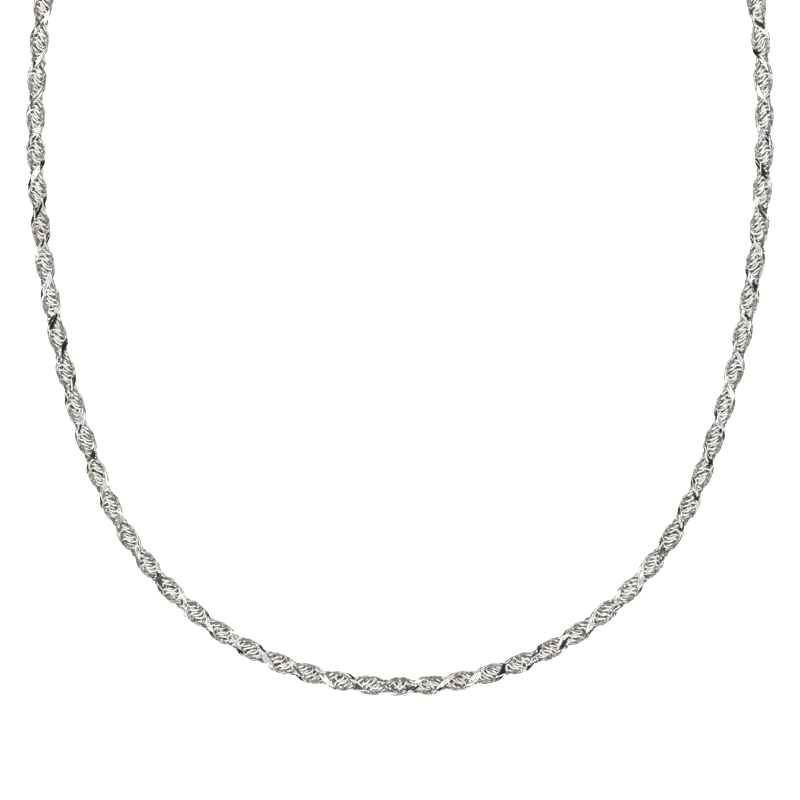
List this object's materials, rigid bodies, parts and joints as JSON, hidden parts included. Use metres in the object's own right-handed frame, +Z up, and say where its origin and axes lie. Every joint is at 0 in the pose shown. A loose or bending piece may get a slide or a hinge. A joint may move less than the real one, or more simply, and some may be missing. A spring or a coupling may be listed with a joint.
{
  "type": "chain necklace",
  "caption": "Diamond-cut twisted rope chain necklace, open in a long U, with end caps, jump rings, a sprung lobster clasp and a catch ring. It flexes along its length.",
  "frame": {"origin": "middle of the bottom face of the whole necklace's box, on the surface it lies on", "axes": "+Z up from the surface, +Y from the front of the necklace towards its clasp and catch ring, +X towards the arm with the catch ring"},
  "size_m": [0.1196, 0.2032, 0.0047],
  "materials": {
    "rope_silver": "polished wire with bright cut facets",
    "fitting_silver": "polished",
    "clasp_silver": "polished casting",
    "spring_steel": "satin"
  },
  "bodies": {
    "rope_front": {"rope_front": "rope_silver"},
    "rope_left_01": {"rope_left_01": "rope_silver"},
    "rope_left_02": {"rope_left_02": "rope_silver"},
    "rope_left_03": {"rope_left_03": "rope_silver"},
    "rope_left_04": {"rope_left_04": "rope_silver"},
    "rope_left_05": {"rope_left_05": "rope_silver"},
    "rope_left_06": {"rope_left_06": "rope_silver"},
    "rope_left_07": {"rope_left_07": "rope_silver"},
    "rope_left_08": {"rope_left_08": "rope_silver"},
    "rope_left_09": {"rope_left_09": "rope_silver"},
    "rope_left_10": {"rope_left_10": "rope_silver"},
    "rope_left_11": {"rope_left_11": "rope_silver"},
    "rope_left_12": {"rope_left_12": "rope_silver"},
    "rope_left_13": {"rope_left_13": "rope_silver"},
    "rope_left_14": {"rope_left_14": "rope_silver"},
    "rope_left_15": {"rope_left_15": "rope_silver"},
    "rope_left_16": {"rope_left_16": "rope_silver"},
    "rope_left_17": {"rope_left_17": "rope_silver"},
    "rope_left_18": {"rope_left_18": "rope_silver"},
    "rope_left_19": {"rope_left_19": "rope_silver"},
    "rope_left_20": {"rope_left_20": "rope_silver"},
    "rope_left_21": {"rope_left_21": "rope_silver"},
    "rope_left_22": {"rope_left_22": "rope_silver"},
    "rope_left_23": {"rope_left_23": "rope_silver", "left_end_cap": "fitting_silver"},
    "rope_right_01": {"rope_right_01": "rope_silver"},
    "rope_right_02": {"rope_right_02": "rope_silver"},
    "rope_right_03": {"rope_right_03": "rope_silver"},
    "rope_right_04": {"rope_right_04": "rope_silver"},
    "rope_right_05": {"rope_right_05": "rope_silver"},
    "rope_right_06": {"rope_right_06": "rope_silver"},
    "rope_right_07": {"rope_right_07": "rope_silver"},
    "rope_right_08": {"rope_right_08": "rope_silver"},
    "rope_right_09": {"rope_right_09": "rope_silver"},
    "rope_right_10": {"rope_right_10": "rope_silver"},
    "rope_right_11": {"rope_right_11": "rope_silver"},
    "rope_right_12": {"rope_right_12": "rope_silver"},
    "rope_right_13": {"rope_right_13": "rope_silver"},
    "rope_right_14": {"rope_right_14": "rope_silver"},
    "rope_right_15": {"rope_right_15": "rope_silver"},
    "rope_right_16": {"rope_right_16": "rope_silver"},
    "rope_right_17": {"rope_right_17": "rope_silver"},
    "rope_right_18": {"rope_right_18": "rope_silver"},
    "rope_right_19": {"rope_right_19": "rope_silver"},
    "rope_right_20": {"rope_right_20": "rope_silver"},
    "rope_right_21": {"rope_right_21": "rope_silver"},
    "rope_right_22": {"rope_right_22": "rope_silver"},
    "rope_right_23": {"rope_right_23": "rope_silver", "right_end_cap": "fitting_silver"},
    "clasp_link": {"clasp_jump_ring": "fitting_silver"},
    "clasp": {"clasp_body": "clasp_silver", "clasp_pin": "clasp_silver", "clasp_spring": "spring_steel"},
    "clasp_gate": {"clasp_lever": "clasp_silver"},
    "catch_link": {"catch_jump_ring": "fitting_silver"},
    "catch": {"catch_ring": "fitting_silver"}
  },
  "joints": [
    {"name": "clasp_lever_press", "type": "hinge", "parent": "clasp", "child": "clasp_gate", "pos_m": [-0.04373, 0.09447, 0.0013], "axis": [0, 0, 1], "range_deg": [0, 22], "stiffness_Nm_per_rad": 0.005, "springref_deg": -8.59},
    {"name": "clasp_link_swing", "type": "hinge", "parent": "rope_left_23", "child": "clasp_link", "pos_m": [-0.04606, 0.08696, 0.00135], "axis": [0, 0, 1], "range_deg": [-40, 40]},
    {"name": "clasp_swing", "type": "hinge", "parent": "clasp_link", "child": "clasp", "pos_m": [-0.04557, 0.09039, 0.0013], "axis": [0, 0, -1], "range_deg": [-40, 40]},
    {"name": "catch_link_swing", "type": "hinge", "parent": "rope_right_23", "child": "catch_link", "pos_m": [0.04606, 0.08696, 0.00135], "axis": [0, 0, -1], "range_deg": [-40, 40]},
    {"name": "catch_ring_lift", "type": "hinge", "parent": "catch_link", "child": "catch", "pos_m": [0.04571, 0.08943, 0.00155], "axis": [0.9901, 0.1402, 0], "range_deg": [0, 75]},
    {"name": "left_flex_01", "type": "hinge", "parent": "rope_front", "child": "rope_left_01", "pos_m": [-0.00457, -0.09985, 0.00135], "axis": [0, 0, -1], "range_deg": [-20, 20]},
    {"name": "left_flex_02", "type": "hinge", "parent": "rope_left_01", "child": "rope_left_02", "pos_m": [-0.01356, -0.09823, 0.00135], "axis": [0, 0, -1], "range_deg": [-20, 20]},
    {"name": "left_flex_03", "type": "hinge", "parent": "rope_left_02", "child": "rope_left_03", "pos_m": [-0.02212, -0.09505, 0.00135], "axis": [0, 0, 1], "range_deg": [-20, 20]},
    {"name": "left_flex_04", "type": "hinge", "parent": "rope_left_03", "child": "rope_left_04", "pos_m": [-0.02999, -0.0904, 0.00135], "axis": [0, 0, 1], "range_deg": [-20, 20]},
    {"name": "left_flex_05", "type": "hinge", "parent": "rope_left_04", "child": "rope_left_05", "pos_m": [-0.03691, -0.08443, 0.00135], "axis": [0, 0, 1], "range_deg": [-20, 20]},
    {"name": "left_flex_06", "type": "hinge", "parent": "rope_left_05", "child": "rope_left_06", "pos_m": [-0.04266, -0.07733, 0.00135], "axis": [0, 0, 1], "range_deg": [-20, 20]},
    {"name": "left_flex_07", "type": "hinge", "parent": "rope_left_06", "child": "rope_left_07", "pos_m": [-0.04706, -0.06932, 0.00135], "axis": [0, 0, -1], "range_deg": [-20, 20]},
    {"name": "left_lift_08", "type": "hinge", "parent": "rope_left_07", "child": "rope_left_08", "pos_m": [-0.05023, -0.06074, 0.00135], "axis": [0.9495, 0.3138, 0], "range_deg": [0, 20]},
    {"name": "left_flex_09", "type": "hinge", "parent": "rope_left_08", "child": "rope_left_09", "pos_m": [-0.05285, -0.05198, 0.00135], "axis": [0, 0, -1], "range_deg": [-20, 20]},
    {"name": "left_flex_10", "type": "hinge", "parent": "rope_left_09", "child": "rope_left_10", "pos_m": [-0.05496, -0.04308, 0.00135], "axis": [0, 0, -1], "range_deg": [-20, 20]},
    {"name": "left_lift_11", "type": "hinge", "parent": "rope_left_10", "child": "rope_left_11", "pos_m": [-0.05656, -0.03407, 0.00135], "axis": [0.9892, 0.1467, 0], "range_deg": [0, 20]},
    {"name": "left_flex_12", "type": "hinge", "parent": "rope_left_11", "child": "rope_left_12", "pos_m": [-0.05764, -0.02499, 0.00135], "axis": [0, 0, -1], "range_deg": [-20, 20]},
    {"name": "left_flex_13", "type": "hinge", "parent": "rope_left_12", "child": "rope_left_13", "pos_m": [-0.0582, -0.01586, 0.00135], "axis": [0, 0, 1], "range_deg": [-20, 20]},
    {"name": "left_lift_14", "type": "hinge", "parent": "rope_left_13", "child": "rope_left_14", "pos_m": [-0.05824, -0.00671, 0.00135], "axis": [0.9997, -0.0248, 0], "range_deg": [0, 20]},
    {"name": "left_flex_15", "type": "hinge", "parent": "rope_left_14", "child": "rope_left_15", "pos_m": [-0.05775, 0.00243, 0.00135], "axis": [0, 0, 1], "range_deg": [-20, 20]},
    {"name": "left_flex_16", "type": "hinge", "parent": "rope_left_15", "child": "rope_left_16", "pos_m": [-0.05674, 0.01152, 0.00135], "axis": [0, 0, 1], "range_deg": [-20, 20]},
    {"name": "left_lift_17", "type": "hinge", "parent": "rope_left_16", "child": "rope_left_17", "pos_m": [-0.05546, 0.02058, 0.00135], "axis": [0.9901, -0.1402, 0], "range_deg": [0, 20]},
    {"name": "left_flex_18", "type": "hinge", "parent": "rope_left_17", "child": "rope_left_18", "pos_m": [-0.05417, 0.02964, 0.00135], "axis": [0, 0, 1], "range_deg": [-20, 20]},
    {"name": "left_flex_19", "type": "hinge", "parent": "rope_left_18", "child": "rope_left_19", "pos_m": [-0.05289, 0.03869, 0.00135], "axis": [0, 0, -1], "range_deg": [-20, 20]},
    {"name": "left_lift_20", "type": "hinge", "parent": "rope_left_19", "child": "rope_left_20", "pos_m": [-0.05161, 0.04775, 0.00135], "axis": [0.9901, -0.1402, 0], "range_deg": [0, 20]},
    {"name": "left_flex_21", "type": "hinge", "parent": "rope_left_20", "child": "rope_left_21", "pos_m": [-0.05033, 0.05681, 0.00135], "axis": [0, 0, -1], "range_deg": [-20, 20]},
    {"name": "left_flex_22", "type": "hinge", "parent": "rope_left_21", "child": "rope_left_22", "pos_m": [-0.04904, 0.06587, 0.00135], "axis": [0, 0, -1], "range_deg": [-20, 20]},
    {"name": "left_lift_23", "type": "hinge", "parent": "rope_left_22", "child": "rope_left_23", "pos_m": [-0.04776, 0.07493, 0.00135], "axis": [0.9901, -0.1402, 0], "range_deg": [0, 20]},
    {"name": "right_flex_01", "type": "hinge", "parent": "rope_front", "child": "rope_right_01", "pos_m": [0.00457, -0.09985, 0.00135], "axis": [0, 0, 1], "range_deg": [-20, 20]},
    {"name": "right_flex_02", "type": "hinge", "parent": "rope_right_01", "child": "rope_right_02", "pos_m": [0.01356, -0.09823, 0.00135], "axis": [0, 0, 1], "range_deg": [-20, 20]},
    {"name": "right_flex_03", "type": "hinge", "parent": "rope_right_02", "child": "rope_right_03", "pos_m": [0.02212, -0.09505, 0.00135], "axis": [0, 0, -1], "range_deg": [-20, 20]},
    {"name": "right_flex_04", "type": "hinge", "parent": "rope_right_03", "child": "rope_right_04", "pos_m": [0.02999, -0.0904, 0.00135], "axis": [0, 0, -1], "range_deg": [-20, 20]},
    {"name": "right_flex_05", "type": "hinge", "parent": "rope_right_04", "child": "rope_right_05", "pos_m": [0.03691, -0.08443, 0.00135], "axis": [0, 0, -1], "range_deg": [-20, 20]},
    {"name": "right_flex_06", "type": "hinge", "parent": "rope_right_05", "child": "rope_right_06", "pos_m": [0.04266, -0.07733, 0.00135], "axis": [0, 0, -1], "range_deg": [-20, 20]},
    {"name": "right_flex_07", "type": "hinge", "parent": "rope_right_06", "child": "rope_right_07", "pos_m": [0.04706, -0.06932, 0.00135], "axis": [0, 0, 1], "range_deg": [-20, 20]},
    {"name": "right_lift_08", "type": "hinge", "parent": "rope_right_07", "child": "rope_right_08", "pos_m": [0.05023, -0.06074, 0.00135], "axis": [0.9495, -0.3138, 0], "range_deg": [0, 20]},
    {"name": "right_flex_09", "type": "hinge", "parent": "rope_right_08", "child": "rope_right_09", "pos_m": [0.05285, -0.05198, 0.00135], "axis": [0, 0, 1], "range_deg": [-20, 20]},
    {"name": "right_flex_10", "type": "hinge", "parent": "rope_right_09", "child": "rope_right_10", "pos_m": [0.05496, -0.04308, 0.00135], "axis": [0, 0, 1], "range_deg": [-20, 20]},
    {"name": "right_lift_11", "type": "hinge", "parent": "rope_right_10", "child": "rope_right_11", "pos_m": [0.05656, -0.03407, 0.00135], "axis": [0.9892, -0.1467, 0], "range_deg": [0, 20]},
    {"name": "right_flex_12", "type": "hinge", "parent": "rope_right_11", "child": "rope_right_12", "pos_m": [0.05764, -0.02499, 0.00135], "axis": [0, 0, 1], "range_deg": [-20, 20]},
    {"name": "right_flex_13", "type": "hinge", "parent": "rope_right_12", "child": "rope_right_13", "pos_m": [0.0582, -0.01586, 0.00135], "axis": [0, 0, -1], "range_deg": [-20, 20]},
    {"name": "right_lift_14", "type": "hinge", "parent": "rope_right_13", "child": "rope_right_14", "pos_m": [0.05824, -0.00671, 0.00135], "axis": [0.9997, 0.0248, 0], "range_deg": [0, 20]},
    {"name": "right_flex_15", "type": "hinge", "parent": "rope_right_14", "child": "rope_right_15", "pos_m": [0.05775, 0.00243, 0.00135], "axis": [0, 0, -1], "range_deg": [-20, 20]},
    {"name": "right_flex_16", "type": "hinge", "parent": "rope_right_15", "child": "rope_right_16", "pos_m": [0.05674, 0.01152, 0.00135], "axis": [0, 0, -1], "range_deg": [-20, 20]},
    {"name": "right_lift_17", "type": "hinge", "parent": "rope_right_16", "child": "rope_right_17", "pos_m": [0.05546, 0.02058, 0.00135], "axis": [0.9901, 0.1402, 0], "range_deg": [0, 20]},
    {"name": "right_flex_18", "type": "hinge", "parent": "rope_right_17", "child": "rope_right_18", "pos_m": [0.05417, 0.02964, 0.00135], "axis": [0, 0, -1], "range_deg": [-20, 20]},
    {"name": "right_flex_19", "type": "hinge", "parent": "rope_right_18", "child": "rope_right_19", "pos_m": [0.05289, 0.03869, 0.00135], "axis": [0, 0, 1], "range_deg": [-20, 20]},
    {"name": "right_lift_20", "type": "hinge", "parent": "rope_right_19", "child": "rope_right_20", "pos_m": [0.05161, 0.04775, 0.00135], "axis": [0.9901, 0.1402, 0], "range_deg": [0, 20]},
    {"name": "right_flex_21", "type": "hinge", "parent": "rope_right_20", "child": "rope_right_21", "pos_m": [0.05033, 0.05681, 0.00135], "axis": [0, 0, 1], "range_deg": [-20, 20]},
    {"name": "right_flex_22", "type": "hinge", "parent": "rope_right_21", "child": "rope_right_22", "pos_m": [0.04904, 0.06587, 0.00135], "axis": [0, 0, 1], "range_deg": [-20, 20]},
    {"name": "right_lift_23", "type": "hinge", "parent": "rope_right_22", "child": "rope_right_23", "pos_m": [0.04776, 0.07493, 0.00135], "axis": [0.9901, 0.1402, 0], "range_deg": [0, 20]}
  ]
}
